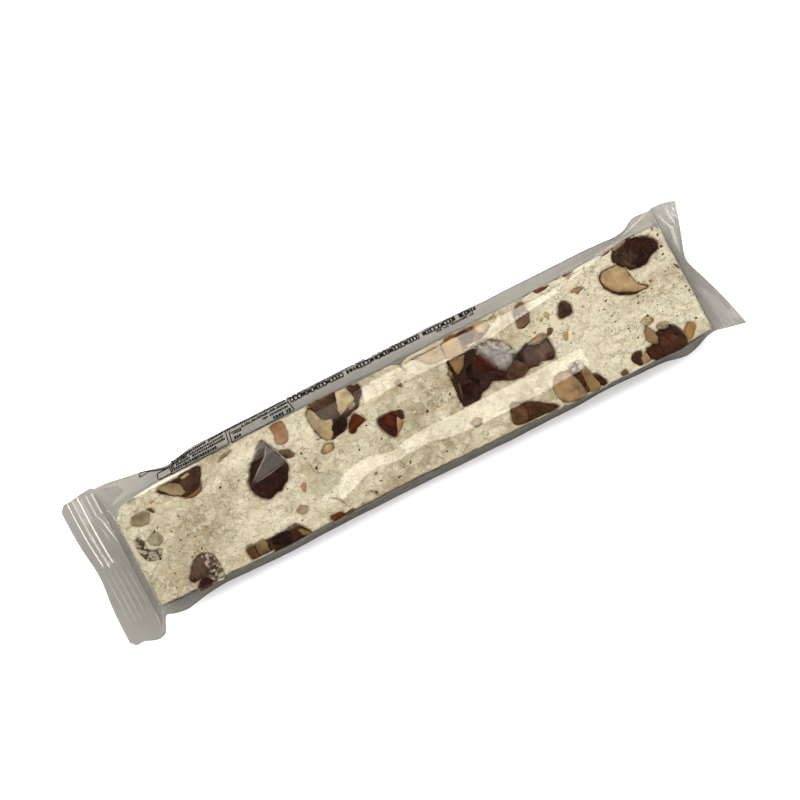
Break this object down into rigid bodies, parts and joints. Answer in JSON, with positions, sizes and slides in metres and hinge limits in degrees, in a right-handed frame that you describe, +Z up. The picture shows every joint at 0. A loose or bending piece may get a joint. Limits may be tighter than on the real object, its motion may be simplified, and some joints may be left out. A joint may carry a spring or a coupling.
{
  "type": "nougat bar",
  "caption": "Long bar of soft nougat with almonds and dark caramel pieces, sealed in a clear flow-wrap film with a crimped fin at each end.",
  "frame": {"origin": "middle of the bounding box, on the surface that the pack lies on", "axes": "+X along the bar, towards the end whose fin is bent up; +Y across the bar, towards its printed long side; +Z up"},
  "size_m": [0.2261, 0.0543, 0.0183],
  "materials": {
    "clear_film": "thin clear glossy film, crinkled, ribbed where it is crimped",
    "nougat": "soft matt cut nougat, finely pitted",
    "almond": "cut almond flesh with brown skin",
    "caramel": "dark glassy caramel brittle",
    "print_ink": "plain dark dashes and ruled boxes on the film"
  },
  "bodies": {
    "root": {"sealed_pack": "clear_film"}
  },
  "joints": []
}
